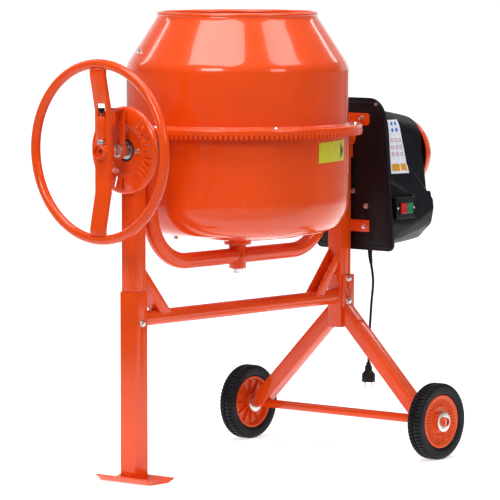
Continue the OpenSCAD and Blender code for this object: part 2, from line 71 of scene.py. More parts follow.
# ------------------------------------------------------------------ materials
class Mat:
    def __init__(self, name):
        self.m = bpy.data.materials.new(name)
        self.m.use_nodes = True
        self.nt = self.m.node_tree
        self.nt.nodes.clear()
        self.out = self.nt.nodes.new("ShaderNodeOutputMaterial")
        self.b = self.nt.nodes.new("ShaderNodeBsdfPrincipled")
        self.nt.links.new(self.b.outputs[0], self.out.inputs[0])
        self.tc = self.nt.nodes.new("ShaderNodeTexCoord")

    def n(self, kind, **kw):
        nd = self.nt.nodes.new(kind)
        for k, v in kw.items():
            setattr(nd, k, v)
        return nd

    def link(self, a, b):
        self.nt.links.new(a, b)

    def noise(self, scale, detail=3.0, rough=0.5, dist=0.0, stretch=None):
        nd = self.n("ShaderNodeTexNoise")
        nd.inputs["Scale"].default_value = scale
        nd.inputs["Detail"].default_value = detail
        nd.inputs["Roughness"].default_value = rough
        nd.inputs["Distortion"].default_value = dist
        if stretch:
            mp = self.n("ShaderNodeMapping")
            mp.inputs["Scale"].default_value = stretch
            self.link(self.tc.outputs["Object"], mp.inputs["Vector"])
            self.link(mp.outputs[0], nd.inputs["Vector"])
        else:
            self.link(self.tc.outputs["Object"], nd.inputs["Vector"])
        return nd.outputs["Fac"]

    def rng(self, fac, a, b, lo, hi):
        nd = self.n("ShaderNodeMapRange")
        nd.clamp = True
        for i, v in ((1, a), (2, b), (3, lo), (4, hi)):
            nd.inputs[i].default_value = v
        self.link(fac, nd.inputs[0])
        return nd.outputs[0]

    def mix(self, fac, c1, c2, blend="MIX"):
        nd = self.n("ShaderNodeMix", data_type="RGBA", blend_type=blend)
        if isinstance(fac, (int, float)):
            nd.inputs[0].default_value = fac
        else:
            self.link(fac, nd.inputs[0])
        for i, c in ((6, c1), (7, c2)):
            if isinstance(c, tuple):
                nd.inputs[i].default_value = (c[0], c[1], c[2], 1)
            else:
                self.link(c, nd.inputs[i])
        return nd.outputs[2]

    def math(self, op, a, b=None):
        nd = self.n("ShaderNodeMath", operation=op)
        for i, v in ((0, a), (1, b)):
            if v is None:
                continue
            if isinstance(v, (int, float)):
                nd.inputs[i].default_value = v
            else:
                self.link(v, nd.inputs[i])
        return nd.outputs[0]

    def bump(self, height, distance, strength=1.0, prev=None):
        nd = self.n("ShaderNodeBump")
        nd.inputs["Strength"].default_value = strength
        nd.inputs["Distance"].default_value = distance
        self.link(height, nd.inputs["Height"])
        if prev is not None:
            self.link(prev, nd.inputs["Normal"])
        return nd.outputs[0]

    def up(self):
        g = self.n("ShaderNodeNewGeometry")
        sp = self.n("ShaderNodeSeparateXYZ")
        self.link(g.outputs["Normal"], sp.inputs[0])
        return sp.outputs[2]

    def set(self, **kw):
        for k, v in kw.items():
            self.b.inputs[k.replace("_", " ")].default_value = v


def mul(c, k):
    return tuple(min(1.0, x * k) for x in c)


def paint(name, col, wave=0.10, coat=0.35, spec=0.28):
    """Gloss enamel: slow colour drift, orange peel, faint scuffs, dust on top."""
    m = Mat(name)
    drift = m.rng(m.noise(5.0, 3.0), 0.3, 0.7, 0, 1)
    c = m.mix(drift, mul(col, 0.90), mul(col, 1.06))
    grain = m.rng(m.noise(160.0, 4.0, 0.6), 0.35, 0.7, 0, 0.10)
    c = m.mix(grain, c, mul(col, 0.72))
    scuff = m.rng(m.noise(46.0, 8.0, 0.72, 0.6), 0.655, 0.72, 0, 0.34)
    c = m.mix(scuff, c, (0.62, 0.27, 0.15))
    dust_n = m.rng(m.noise(22.0, 6.0, 0.6), 0.35, 0.75, 0.0, 0.10)
    dust_up = m.rng(m.up(), 0.55, 1.0, 0.0, 1.0)
    dust = m.math("MULTIPLY", dust_n, dust_up)
    c = m.mix(dust, c, (0.72, 0.60, 0.50))
    m.link(c, m.b.inputs["Base Color"])
    r = m.rng(m.noise(30.0, 5.0, 0.6), 0.3, 0.7, 0.16, 0.26)
    r = m.math("ADD", r, m.math("MULTIPLY", scuff, 0.7))
    r = m.math("ADD", r, m.math("MULTIPLY", dust, 1.2))
    m.link(r, m.b.inputs["Roughness"])
    peel = m.bump(m.noise(420.0, 2.0), 0.0004, 0.10)
    wav = m.bump(m.noise(16.0, 2.0), 0.004, wave, peel)
    m.link(wav, m.b.inputs["Normal"])
    m.set(Coat_Weight=coat, Coat_Roughness=0.025, Specular_IOR_Level=spec)
    return m.m


def plastic(name, col, rough=(0.32, 0.46), grain=0.25):
    m = Mat(name)
    c = m.mix(m.rng(m.noise(7.0, 4.0), 0.3, 0.7, 0, 1), mul(col, 0.8), mul(col, 1.25))
    scr = m.rng(m.noise(60.0, 9.0, 0.75, 1.0), 0.66, 0.74, 0, 0.5)
    c = m.mix(scr, c, mul(col, 3.2))
    dust = m.math("MULTIPLY", m.rng(m.noise(26.0, 6.0), 0.4, 0.75, 0.0, 0.16), m.rng(m.up(), 0.3, 1.0, 0, 1))
    c = m.mix(dust, c, (0.36, 0.33, 0.30))
    m.link(c, m.b.inputs["Base Color"])
    r = m.rng(m.noise(40.0, 5.0), 0.3, 0.7, rough[0], rough[1])
    m.link(m.math("ADD", r, m.math("MULTIPLY", dust, 1.0)), m.b.inputs["Roughness"])
    g = m.n("ShaderNodeTexVoronoi")
    g.inputs["Scale"].default_value = 900.0
    m.link(m.tc.outputs["Object"], g.inputs["Vector"])
    m.set(Specular_IOR_Level=0.26)
    m.link(m.bump(m.noise(11.0, 2.0), 0.004, 0.08, m.bump(g.outputs["Distance"], 0.0003, grain)), m.b.inputs["Normal"])
    return m.m


def rubber(name, col, rough=(0.45, 0.62), dustcol=(0.20, 0.19, 0.18), dust=0.14):
    m = Mat(name)
    c = m.mix(m.rng(m.noise(18.0, 5.0), 0.3, 0.7, 0, 1), mul(col, 0.75), mul(col, 1.3))
    d = m.rng(m.noise(34.0, 8.0, 0.65), 0.45, 0.75, 0, dust)
    c = m.mix(d, c, dustcol)
    m.link(c, m.b.inputs["Base Color"])
    m.link(m.rng(m.noise(50.0, 5.0), 0.3, 0.7, rough[0], rough[1]), m.b.inputs["Roughness"])
    m.link(m.bump(m.noise(700.0, 3.0), 0.0003, 0.35), m.b.inputs["Normal"])
    m.set(Specular_IOR_Level=0.22)
    return m.m


def metal(name, col, rough=(0.2, 0.36), tint=None, streak=(60, 60, 700), bump=0.12, spots=0.0):
    m = Mat(name)
    c = m.mix(m.rng(m.noise(40.0, 4.0), 0.3, 0.7, 0, 1), mul(col, 0.86), mul(col, 1.08))
    if tint:
        c = m.mix(m.rng(m.noise(90.0, 3.0), 0.42, 0.68, 0, 0.55), c, tint)
    if spots:
        c = m.mix(m.rng(m.noise(130.0, 7.0, 0.7), 0.6, 0.7, 0, spots), c, (0.16, 0.10, 0.07))
    m.link(c, m.b.inputs["Base Color"])
    m.link(m.rng(m.noise(3.0, 4.0, stretch=streak), 0.3, 0.7, rough[0], rough[1]), m.b.inputs["Roughness"])
    m.link(m.bump(m.noise(4.0, 3.0, stretch=streak), 0.0004, bump), m.b.inputs["Normal"])
    m.set(Metallic=1.0)
    return m.m


ORANGE = (0.83, 0.072, 0.0045)
m_orange = paint("orange_enamel", ORANGE)
m_drum = paint("orange_enamel_drum", ORANGE, wave=0.16, coat=0.65, spec=0.32)
m_tube = paint("orange_enamel_tube", mul(ORANGE, 0.97), wave=0.08)
# Inside of the drum and the blades: the drum orange darkened to 0.82 as painted shade in the hollow, with a thinner
# coat and more waviness.
m_inside_shaded = paint("orange_enamel_inside_painted_shade", mul(ORANGE, 0.82), wave=0.25, coat=0.2)
m_rim = paint("orange_rim", (0.78, 0.085, 0.010), wave=0.05, coat=0.15)
m_black = plastic("black_housing", (0.0045, 0.005, 0.0075))
m_black2 = plastic("black_moulded", (0.006, 0.006, 0.007), rough=(0.25, 0.38))
m_nylon = plastic("black_nylon", (0.014, 0.014, 0.015), rough=(0.4, 0.5))
m_tyre = rubber("tyre_rubber", (0.0050, 0.0058, 0.0085), rough=(0.40, 0.55), dust=0.02)
m_belt = rubber("belt_rubber", (0.016, 0.016, 0.017))
m_cord = rubber("cord_sheath", (0.008, 0.008, 0.009), rough=(0.32, 0.45), dust=0.04)
m_zinc = metal("zinc_plate", (0.76, 0.77, 0.78), tint=(0.74, 0.70, 0.56))
m_steel = metal("turned_steel", (0.50, 0.50, 0.51), rough=(0.24, 0.42))
m_chrome = metal("ground_steel", (0.66, 0.67, 0.68), rough=(0.10, 0.2), bump=0.03)
m_alu = metal("cast_aluminium", (0.56, 0.57, 0.58), rough=(0.38, 0.55), streak=(90, 90, 90), bump=0.4)
m_iron = metal("greased_iron", (0.20, 0.20, 0.20), rough=(0.22, 0.5), streak=(80, 80, 80), bump=0.4, spots=0.5)
m_brass = metal("plug_brass", (0.70, 0.62, 0.50), rough=(0.16, 0.28))
m_motor = paint("motor_enamel", (0.030, 0.032, 0.036), coat=0.1)
m_red = plastic("red_button", (0.55, 0.015, 0.02), rough=(0.22, 0.3), grain=0.05)
m_green = plastic("green_button", (0.010, 0.20, 0.075), rough=(0.22, 0.3), grain=0.05)


def print_film(name, col):
    m = Mat(name)
    m.link(m.mix(m.rng(m.noise(60.0, 4.0), 0.3, 0.7, 0, 1), mul(col, 0.92), mul(col, 1.04)), m.b.inputs["Base Color"])
    m.link(m.rng(m.noise(120.0, 3.0), 0.3, 0.7, 0.28, 0.42), m.b.inputs["Roughness"])
    m.link(m.bump(m.noise(55.0, 3.0), 0.0008, 0.12), m.b.inputs["Normal"])
    return m.m


m_yellow = print_film("film_yellow", (0.62, 0.60, 0.02))
m_ink = print_film("film_black", (0.012, 0.012, 0.012))
m_white = print_film("film_white", (0.80, 0.82, 0.90))
m_blue = print_film("film_blue", (0.02, 0.18, 0.62))
m_ringred = print_film("film_red", (0.50, 0.05, 0.09))
m_amber = print_film("film_amber", (0.72, 0.33, 0.02))


# ------------------------------------------------------------------ mesh help
def piece(name, verts, faces, mat, body, slot=None, replaces=(), shade=True, mats=None, face_mat=None, angle=None):
    """A new mesh piece from design-frame millimetres."""
    me = bpy.data.meshes.new(name)
    me.from_pydata([M(v) for v in verts], [], faces)
    me.materials.append(mat)
    for x in mats or []:
        me.materials.append(x)
    if face_mat:
        for p, i in zip(me.polygons, face_mat):
            p.material_index = i
    me.validate(clean_customdata=False)
    import bmesh
    bm = bmesh.new()
    bm.from_mesh(me)
    bmesh.ops.recalc_face_normals(bm, faces=bm.faces)
    bm.to_mesh(me)
    bm.free()
    for p in me.polygons:
        p.use_smooth = shade
    if angle is not None:
        me.set_sharp_from_angle(angle=math.radians(angle))
    me.update()
    ob = bpy.data.objects.new(name, me)
    scene.collection.objects.link(ob)
    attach(ob, body)
    if replaces:
        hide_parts(*replaces)
    return ob


class Build:
    """Collects closed solids into one piece."""

    def __init__(self):
        self.v, self.f, self.mi = [], [], []

    def add(self, v, f, mi=0):
        o = len(self.v)
        self.v += [tuple(p) for p in v]
        self.f += [tuple(i + o for i in q) for q in f]
        self.mi += [mi] * len(f)


def loop_grid(rings, close_rings=True, cap=False):
    """Faces between successive closed loops of equal length."""
    n = len(rings[0])
    v = [p for r in rings for p in r]
    k = len(rings)
    f = []
    for i in range(k if close_rings else k - 1):
        a, b = i * n, ((i + 1) % k) * n
        for j in range(n):
            f.append((a + j, a + (j + 1) % n, b + (j + 1) % n, b + j))
    if cap and not close_rings:
        f.append(tuple(range(n - 1, -1, -1)))
        f.append(tuple((k - 1) * n + j for j in range(n)))
    return v, f


def revolve(section, angles, place, fn=None):
    """A closed section [(r, a)] turned round; place(r, a, theta) gives a point."""
    rings = []
    for t in angles:
        rings.append([place(*(fn(r, a, t) if fn else (r, a)), t) for r, a in section])
    return loop_grid(rings)


def about_z(cx=0.0, cy=0.0):
    return lambda r, a, t: (cx + r * cos(t), cy + r * sin(t), a)


def about_x(cy, cz):
    return lambda r, a, t: (a, cy + r * cos(t), cz + r * sin(t))


def about_y(cx, cz):
    return lambda r, a, t: (cx + r * cos(t), a, cz + r * sin(t))


def dense(pts, step):
    """The same open line with points no further apart than step."""
    out = [pts[0]]
    for p, q in zip(pts, pts[1:]):
        d = math.dist(p, q)
        k = max(1, int(math.ceil(d / step)))
        for i in range(1, k + 1):
            out.append(tuple(p[j] + (q[j] - p[j]) * i / k for j in range(len(p))))
    return out


def tube(path, radius, sides=10, closed=False, cap=True, start_up=None):
    """A round tube along a path of 3-D points; radius may be a function of (index, angle)."""
    n = len(path)
    P = [Vector(p) for p in path]
    T = []
    for i in range(n):
        if closed:
            t = P[(i + 1) % n] - P[i - 1]
        else:
            t = P[min(i + 1, n - 1)] - P[max(i - 1, 0)]
        T.append(t.normalized())
    up = start_up or (Vector((0, 0, 1)) if abs(T[0].z) < 0.9 else Vector((1, 0, 0)))
    u = (up - T[0] * up.dot(T[0])).normalized()
    rings = []
    for i in range(n):
        u = (u - T[i] * u.dot(T[i])).normalized()
        w = T[i].cross(u)
        ring = []
        for k in range(sides):
            a = 2 * pi * k / sides
            r = radius(i, a) if callable(radius) else radius
            ring.append(tuple(P[i] + u * (r * cos(a)) + w * (r * sin(a))))
        rings.append(ring)
    return loop_grid(rings, close_rings=closed, cap=cap)


def weld(b, path, r=2.3, closed=False):
    """A hand-laid weld bead: overlapping ripples of uneven width."""
    pts = dense(path + ([path[0]] if closed else []), 1.4)
    if closed:
        pts = pts[:-1]
    L = len(pts)

    def rad(i, a):
        p = pts[i]
        w = noise.noise(Vector((p[0] * 0.11, p[1] * 0.11, p[2] * 0.11)))
        ripple = 0.86 + 0.16 * abs(sin(i * 0.62))
        end = 1.0 if closed else min(1.0, 0.45 + 0.2 * min(i, L - 1 - i))
        return r * ripple * (1 + 0.22 * w) * end

    v, f = tube(pts, rad, sides=8, closed=closed)
    b.add(v, f)


def circle_path(n, fn):
    return [fn(2 * pi * i / n) for i in range(n)]


# ------------------------------------------------------------------ cord first
cord_pts = [(475, -66, 549), (475, -67, 530), (475, -70, 510), (475, -74, 490), (475, -77, 470),
            (475, -77, 450), (475, -75, 430), (475, -72, 405), (475, -70, 380), (475, -68, 355),
            (475, -66, 330), (475, -64, 305), (475, -63, 280), (475, -62, 258), (475, -62, 238)]


def catmull(pts, k):
    out = []
    for i in range(len(pts) - 1):
        p0, p1, p2, p3 = pts[max(i - 1, 0)], pts[i], pts[i + 1], pts[min(i + 2, len(pts) - 1)]
        for s in range(k):
            t = s / k
            out.append(tuple(0.5 * (2 * b + (c - a) * t + (2 * a - 5 * b + 4 * c - d) * t * t + (3 * b - a - 3 * c + d) * t ** 3)
                             for a, b, c, d in zip(p0, p1, p2, p3)))
    out.append(tuple(pts[-1]))
    return out


route = catmull(cord_pts, 3)
cu = bpy.data.curves.new("cord_line", "CURVE")
cu.dimensions = "3D"
sp = cu.splines.new("POLY")
sp.points.add(len(route) - 1)
for p, q in zip(sp.points, route):
    p.co = (*M(q), 1.0)
cu.bevel_depth = 0.0035
cu.bevel_resolution = 5
cu.use_fill_caps = True
cu.materials.append(m_cord)
cord = bpy.data.objects.new("mains_cord", cu)
scene.collection.objects.link(cord)
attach(cord, "frame")
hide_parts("cord")

# strain relief: a tapered ribbed boot below the gland
boot = []
for i, q in enumerate(route[:7]):
    pass
bp = catmull(cord_pts[:3], 12)
b = Build()


def boot_r(i, a):
    t = i / (len(bp) - 1)
    r = 6.6 - 2.5 * t
    return r + (0.7 if i % 4 in (1, 2) and 2 < i < len(bp) - 2 else 0.0)


v, f = tube(bp, boot_r, sides=20)
b.add(v, f)
relief = piece("cord_boot", b.v, b.f, m_cord, "frame", "cord_pvc", angle=50)

# plug: grip, ribs, round face, two pins
b = Build()
A48 = [2 * pi * i / 48 for i in range(48)]
body_sec = [(3.6, 238.6), (5.4, 238.2), (6.2, 236.5), (6.0, 234.8), (6.8, 234.0), (6.8, 232.6), (6.4, 232.0), (7.4, 231.2),
            (7.4, 229.8), (7.0, 229.2), (8.4, 228.4), (10.2, 227.0), (11.0, 224.6), (11.0, 216.6), (11.6, 214.4),
            (13.4, 212.0), (16.6, 208.0), (18.0, 205.4), (18.5, 203.0), (18.5, 186.6), (17.9, 184.6), (16.8, 184.1),
            (15.9, 184.1), (15.4, 185.4), (3.0, 185.4), (3.0, 238.0)]


def grip(r, a, t):
    if 186 < a < 206 and r > 17.5:
        k = 0.5 + 0.5 * cos(24 * t)
        return r - 0.55 * k, a
    if 214 < a < 226 and r > 10:
        return r * (1 - 0.10 * abs(sin(t))), a
    return r, a


v, f = revolve(body_sec, [2 * pi * i / 96 for i in range(96)], about_z(475, -62), grip)
b.add(v, f)
for s in (-1, 1):
    a = math.radians(37)
    px, py = 475 + s * 9.5 * cos(a), -62 - s * 9.5 * sin(a)
    z0 = 185.6
    sec = [(0.05, z0), (2.4, z0), (2.4, 167.2), (2.0, 166.0), (1.1, 165.2), (0.05, 165.0)]
    v, f = revolve(sec, [2 * pi * i / 20 for i in range(20)], about_z(px, py))
    b.add(v, f, 1)
plug = piece("mains_plug", b.v, b.f, m_cord, "frame", "cord_pvc", ["plug"], mats=[m_zinc], face_mat=b.mi, angle=45)

# ------------------------------------------------------------------ drum
CAM_DIR = math.atan2(-cos(math.radians(49)), -sin(math.radians(49)))   # towards the photo's viewpoint
SEAM = CAM_DIR + math.radians(75)


def seam_angles(n):
    base = [2 * pi * i / n for i in range(n)]
    extra = [(SEAM + math.radians(d)) % (2 * pi) for d in (-1.3, -0.95, -0.8, 0, 0.8, 0.95, 1.3)]
    lo, hi = (SEAM - math.radians(1.2)) % (2 * pi), (SEAM + math.radians(1.2)) % (2 * pi)
    keep = [a for a in base if not (lo < a < hi)]
    return sorted(set(keep + extra))


def drum_fn(outer):
    def fn(r, z, t):
        if r < 60:
            return r, z
        p = Vector((cos(t) * 2.2, sin(t) * 2.2, z / 170.0))
        d = 0.55 * noise.noise(p * 1.0) + 0.22 * noise.noise(p * 3.1)
        # pressed sheet pulls in a little where it was rolled over the crease
        d += 0.5 * math.exp(-((z - 1068) / 14.0) ** 2) * noise.noise(Vector((t * 5.0, 3.1, 0)))
        dt = (t - SEAM + pi) % (2 * pi) - pi
        if abs(math.degrees(dt)) <= 0.86 and 640 < z < 1180:
            d += 0.9
        return r + d, z
    return fn


# lower drum: bottom dish, knuckle, cylinder
t_ = 2.5
outer = [(26, 601), (72, 601), (110, 605.6), (140, 609.4), (168, 613), (188, 617.6), (206, 622.5)]
outer += [(210 + 87 * cos(math.radians(a)), 710 + 87 * sin(math.radians(a))) for a in range(-84, 1, 6)]
outer += dense([(297, 710), (297, 893)], 14)[1:]
inner = [(294.5, 893)] + dense([(294.5, 893), (294.5, 710)], 14)[1:-1]
inner += [(210 + 84.5 * cos(math.radians(a)), 710 + 84.5 * sin(math.radians(a))) for a in range(0, -85, -6)]
inner += [(206, 625), (188, 620.1), (168, 615.5), (140, 611.9), (110, 608.1), (72, 603.5), (26, 603.5)]
ang = seam_angles(176)
v, f = revolve(outer + inner, ang, about_z(), drum_fn(True))
n_sec = len(outer + inner)
fm = [1 if (i % n_sec) >= len(outer) else 0 for i in range(len(f))]
piece("drum_lower_shell", v, f, m_drum, "drum", "orange_paint", ["drum_bowl"], mats=[m_inside_shaded], face_mat=fm, angle=35)

# upper drum: cylinder, rolled crease, cone, beaded mouth
bead = [(207 + 6.5 * cos(math.radians(a)), 1199 + 6.5 * sin(math.radians(a))) for a in range(-40, 231, 18)]
up_out = dense([(294, 893.1), (294, 1052)], 14)
up_out += [(293.8, 1057), (292.8, 1062.5), (290.8, 1068.5), (287.8, 1074.3)]
up_out += dense([(286, 1077.5), (213, 1190.2)], 12)
up_in = dense([(207.6, 1190.4), (283.5, 1076.6)], 12) + [(285.4, 1073.2), (288.3, 1067.6), (290.4, 1061.8), (291.4, 1056.6)]
up_in += dense([(291.5, 1052), (291.5, 893.1)], 14)
sec = up_out + bead + up_in
v, f = revolve(sec, ang, about_z(), drum_fn(True))
fm = [1 if (i % len(sec)) >= len(up_out) + len(bead) else 0 for i in range(len(f))]
piece("drum_upper_shell", v, f, m_drum, "drum", "orange_paint", ["drum_cone"], mats=[m_inside_shaded], face_mat=fm, angle=40)

# crown gear: flange with a rolled upper edge and cast teeth below
angs, lows = [], []
NT = 156
for i in range(NT):
    c0 = (i + 0.5) * 2 * pi / NT
    for dd, low in ((-0.435, 0), (-0.205, 1), (0.205, 1), (0.435, 0)):
        angs.append(c0 + dd * 2 * pi / NT)
        lows.append(low)
rings = []
for t, low in zip(angs, lows):
    zb = 883.4 if low else 895.6
    rb = 330.3 if low else 330.8
    secg = [(294.3, 893.4), (297.8, 893.4), (305.6, 896.2), (313.2, min(zb + 0.2, 896)), (rb, zb), (331.0, 897.6), (331.0, 905.6),
            (330.3, 907.8), (328.6, 909.2), (326, 909.9), (304, 909.9), (299.5, 910.6), (297.2, 912.6), (295.6, 914.2), (294.3, 914.4)]
    rings.append([(r * cos(t), r * sin(t), z + (0.25 * noise.noise(Vector((cos(t) * 6, sin(t) * 6, z))) if z > 900 else 0)) for r, z in secg])
v, f = loop_grid(rings)
piece("crown_gear", v, f, m_orange, "drum", "orange_paint", ["ring_gear"], angle=38)


# yellow direction film on the lower drum and its plain arrow
def film(name, mat, poly_rows, r, body, slot):
    """A thin closed skin on the drum: rows of (theta, z) points, r in mm."""
    n = len(poly_rows[0])
    v, f = [], []
    for rr in (r, r + 0.25):
        for row in poly_rows:
            v += [(rr * cos(t), rr * sin(t), z) for t, z in row]
    m = len(poly_rows)
    k = n * m
    for i in range(m - 1):
        for j in range(n - 1):
            a = i * n + j
            f.append((a, a + n, a + n + 1, a + 1))
            f.append((k + a, k + a + 1, k + a + n + 1, k + a + n))
    edge = [j for j in range(n)] + [i * n + n - 1 for i in range(1, m)] + [(m - 1) * n + j for j in range(n - 2, -1, -1)] + [i * n for i in range(m - 2, 0, -1)]
    for a, c in zip(edge, edge[1:] + edge[:1]):
        f.append((a, c, k + c, k + a))
    return piece(name, v, f, mat, body, slot, angle=60)


def on_drum(phi_deg, z):
    return CAM_DIR + math.radians(phi_deg), z


def quad_rows(c00, c10, c01, c11, nu=18, nv=4):
    rows = []
    for i in range(nv + 1):
        b_ = i / nv
        row = []
        for j in range(nu + 1):
            a_ = j / nu
            p = c00[0] * (1 - a_) * (1 - b_) + c10[0] * a_ * (1 - b_) + c01[0] * (1 - a_) * b_ + c11[0] * a_ * b_
            q = c00[1] * (1 - a_) * (1 - b_) + c10[1] * a_ * (1 - b_) + c01[1] * (1 - a_) * b_ + c11[1] * a_ * b_
            row.append(on_drum(p, q))
        rows.append(row)
    return rows


film("drum_film", m_yellow, quad_rows((44.9, 816), (68.6, 819), (45.1, 869), (68.8, 874)), 297.95, "drum", "black_plastic")
film("drum_film_arrow", m_ink, quad_rows((64.2, 823), (67.6, 844), (64.2, 868), (67.6, 846), 8, 4), 298.25, "drum", "black_plastic")


def ring_on_drum(name, mat, phi, z, a, b_, lean, wd):
    """A thin printed ring, leaning."""
    rows = []
    for k in (0, 1):
        row = []
        for i in range(41):
            t = 2 * pi * i / 40
            u, w = (a - wd * k) * cos(t), (b_ - wd * k) * sin(t)
            row.append(on_drum(phi + math.degrees((u * cos(lean) - w * sin(lean)) / 298.0), z + u * sin(lean) + w * cos(lean)))
        rows.append(row)
    film(name, mat, rows, 298.25, "drum", "black_plastic")



# ------------------------------------------------------------------ wheels
AX, AZ = 430.0, 103.0


def tyre(name, node, body, yc, side):
    ts, lo_l, lo_r = [], [], []
    K = 60
    for i in range(K):
        for u, a_, c_ in ((0.0, 0, 0), (0.07, 1, 0), (0.27, 1, 0), (0.34, 0, 0), (0.5, 0, 0), (0.57, 0, 1), (0.77, 0, 1), (0.84, 0, 0)):
            ts.append((i + u) * 2 * pi / K)
            lo_l.append(a_)
            lo_r.append(c_)
    rings = []
    for t, ll, lr in zip(ts, lo_l, lo_r):
        def s(yy, low):
            return [(72.0, 14.2 * yy), (73.2, 17.6 * yy), (76.0, 20.4 * yy), (80.0, 21.6 * yy), (86.0, 21.95 * yy), (91.5, 21.8 * yy),
                    (93.4, 22.0 * yy), (95.0, 21.4 * yy), (97.4 - 0.8 * low, 20.6 * yy), (100.4 - 2.6 * low, 18.6 * yy), (102.2 - 3.4 * low, 16.0 * yy),
                    (103.0 - 3.4 * low, 12.0 * yy), (103.0 - 3.4 * low, 3.4 * yy), (102.6 - 3.0 * low, 2.6 * yy), (99.4, 1.5 * yy)]
        sec_ = s(-1, ll) + s(1, lr)[::-1] + [(71.9, 12.0), (71.9, -12.0)]
        rings.append([(AX + r * cos(t), yc + y_, AZ + r * sin(t)) for r, y_ in sec_])
    v, f = loop_grid(rings)
    piece(name, v, f, m_tyre, body, "tyre_rubber", [node], angle=42)


def rim(name, node, body, yc, side):
    N = 288
    rings = []
    for i in range(N):
        t = 2 * pi * i / N
        fl = 0.5 + 0.5 * cos(36 * t)            # radial flutes of the outer face
        fl = smooth(0.30, 0.72, fl)
        rib = 1.0 if (i % 24) in (0, 1) else 0.0    # stiffening ribs of the inner face
        o = [(12.1, 24.2), (12.7, 24.8), (20.6, 24.8), (21.6, 24.2), (22.0, 21.0), (22.6, 15.0), (24, 13.2), (28, 12.6), (33.0, 12.8), (36.2, 13.6),
             (37.6, 14.6), (39.4, 14.8), (41.2, 14.0 - 3.4 * fl), (46, 13.6 - 4.6 * fl), (52, 13.4 - 4.8 * fl), (57.0, 13.6 - 4.6 * fl), (59.8, 14.4 - 3.2 * fl),
             (61.6, 15.6), (63.6, 17.0), (66.4, 18.0), (69.6, 18.3), (71.4, 17.8), (71.9, 16.4)]
        inn = [(71.9, -16.4), (71.4, -17.8), (69.6, -18.4), (67.2, -18.2), (65.2, -16.8), (64.0, -11.0), (62.6, -6.0 - 6.5 * rib), (48, -5.0 - 7.0 * rib),
               (34, -5.0 - 7.5 * rib), (26.5, -5.4 - 8.5 * rib), (23.4, -6.4 - 9 * rib), (22.2, -12.0 - 5 * rib), (21.8, -22.8), (20.6, -24.8), (12.7, -24.8), (12.1, -24.2)]
        rings.append([(AX + r * cos(t), yc + side * y_, AZ + r * sin(t)) for r, y_ in o + inn])
    v, f = loop_grid(rings)
    piece(name, v, f, m_rim, body, "orange_paint", [node], angle=40)


tyre("tyre_rear", "tyre_left", "wheel_left", 333, 1)
tyre("tyre_front", "tyre_right", "wheel_right", -333, -1)
rim("rim_rear", "rim_left", "wheel_left", 333, 1)
rim("rim_front", "rim_right", "wheel_right", -333, -1)

# ------------------------------------------------------------------ handwheel hoop
rings = []
for i in range(192):
    t = 2 * pi * i / 192
    ring = []
    R = 224 + 0.5 * sin(3 * t + 0.4) * 0.6
    for k in range(32):
        a = 2 * pi * k / 32
        ring.append((-535 + 12.5 * sin(a), (R + 12.5 * cos(a)) * cos(t), TILT + (R + 12.5 * cos(a)) * sin(t)))
    rings.append(ring)
v, f = loop_grid(rings)
piece("hoop_tube", v, f, m_tube, "handwheel", "orange_paint", ["handwheel_hoop"])


# ------------------------------------------------------------------ motor cover
def support(circles, a):
    c = max(circles, key=lambda q: q[0] * cos(a) + q[1] * sin(a) + q[2])
    return (c[0] + c[2] * cos(a), c[1] + c[2] * sin(a))


def even(pts, n):
    """A closed line resampled to n even steps."""
    L = [0.0]
    for p, q in zip(pts, pts[1:] + pts[:1]):
        L.append(L[-1] + math.dist(p, q))
    tot, out, j = L[-1], [], 0
    for i in range(n):
        s_ = tot * i / n
        while L[j + 1] < s_:
            j += 1
        p, q = pts[j], pts[(j + 1) % len(pts)]
        k = (s_ - L[j]) / max(1e-9, L[j + 1] - L[j])
        out.append((p[0] + (q[0] - p[0]) * k, p[1] + (q[1] - p[1]) * k))
    return out


DIRS = [-pi / 2 + 2 * pi * (i + 0.5) / 480 for i in range(480)]


def outline(circles, n):
    """The rounded outline round some circles, evenly spaced, from the bottom."""
    return even([support(circles, a) for a in DIRS], n)


C0 = [(-130, 575, 20), (-78, 893, 50), (36, 893, 50), (70, 575, 20)]
C1 = [(-131, 660, 25), (-124, 625, 25), (-98, 597, 25), (-64, 836, 69), (18, 840, 64), (50, 602, 30)]
NOSE, SHELF = 622.0, 690.0
NO = 260


def grow(circles, o):
    return [(y, z, max(1.0, r + o)) for y, z, r in circles]


def cover_section(t, o=0.0):
    """The outline at share t of the taper, grown by o."""
    A, B = grow(C0, o), grow(C1, o)
    pts = []
    for a in DIRS:
        p, q = support(A, a), support(B, a)
        pts.append((p[0] * (1 - t) + q[0] * t, p[1] * (1 - t) + q[1] * t))
    return even(pts, NO)


def seg_side(x, z, a, b_):
    """Signed distance below a line a-b (positive under it), and position along it."""
    dx, dz = b_[0] - a[0], b_[1] - a[1]
    L = math.hypot(dx, dz)
    s_ = ((x - a[0]) * dx + (z - a[1]) * dz) / L
    d = ((x - a[0]) * dz - (z - a[1]) * dx) / L
    return d, s_ / L


def cover_bulge(x, y, z):
    """The step in the front side under two slanting creases."""
    front = smooth(-112, -122, y)
    if front <= 0:
        return 0.0
    d1, s1 = seg_side(x, z, (540, 786), (638, 684))      # long crease down to the rear corner
    along = (x - 535) * 0.627 + (800 - z) * 0.779
    low = smooth(-3, 6, d1) * smooth(0, 60, along) * smooth(585, 625, z)
    out = 7.0 * low * smooth(462, 476, x)
    d2, s2 = seg_side(x, z, (468, 742), (557, 693))      # hood over the switch
    hood = smooth(-16, -2, d2) * (1 - smooth(-0.5, 3.0, d2)) * smooth(-0.02, 0.12, s2) * (1 - smooth(0.92, 1.02, s2))
    return (out + 5.0 * hood) * front


def share(x):
    return max(0.0, min(1.0, (x - 460.0) / 179.0))


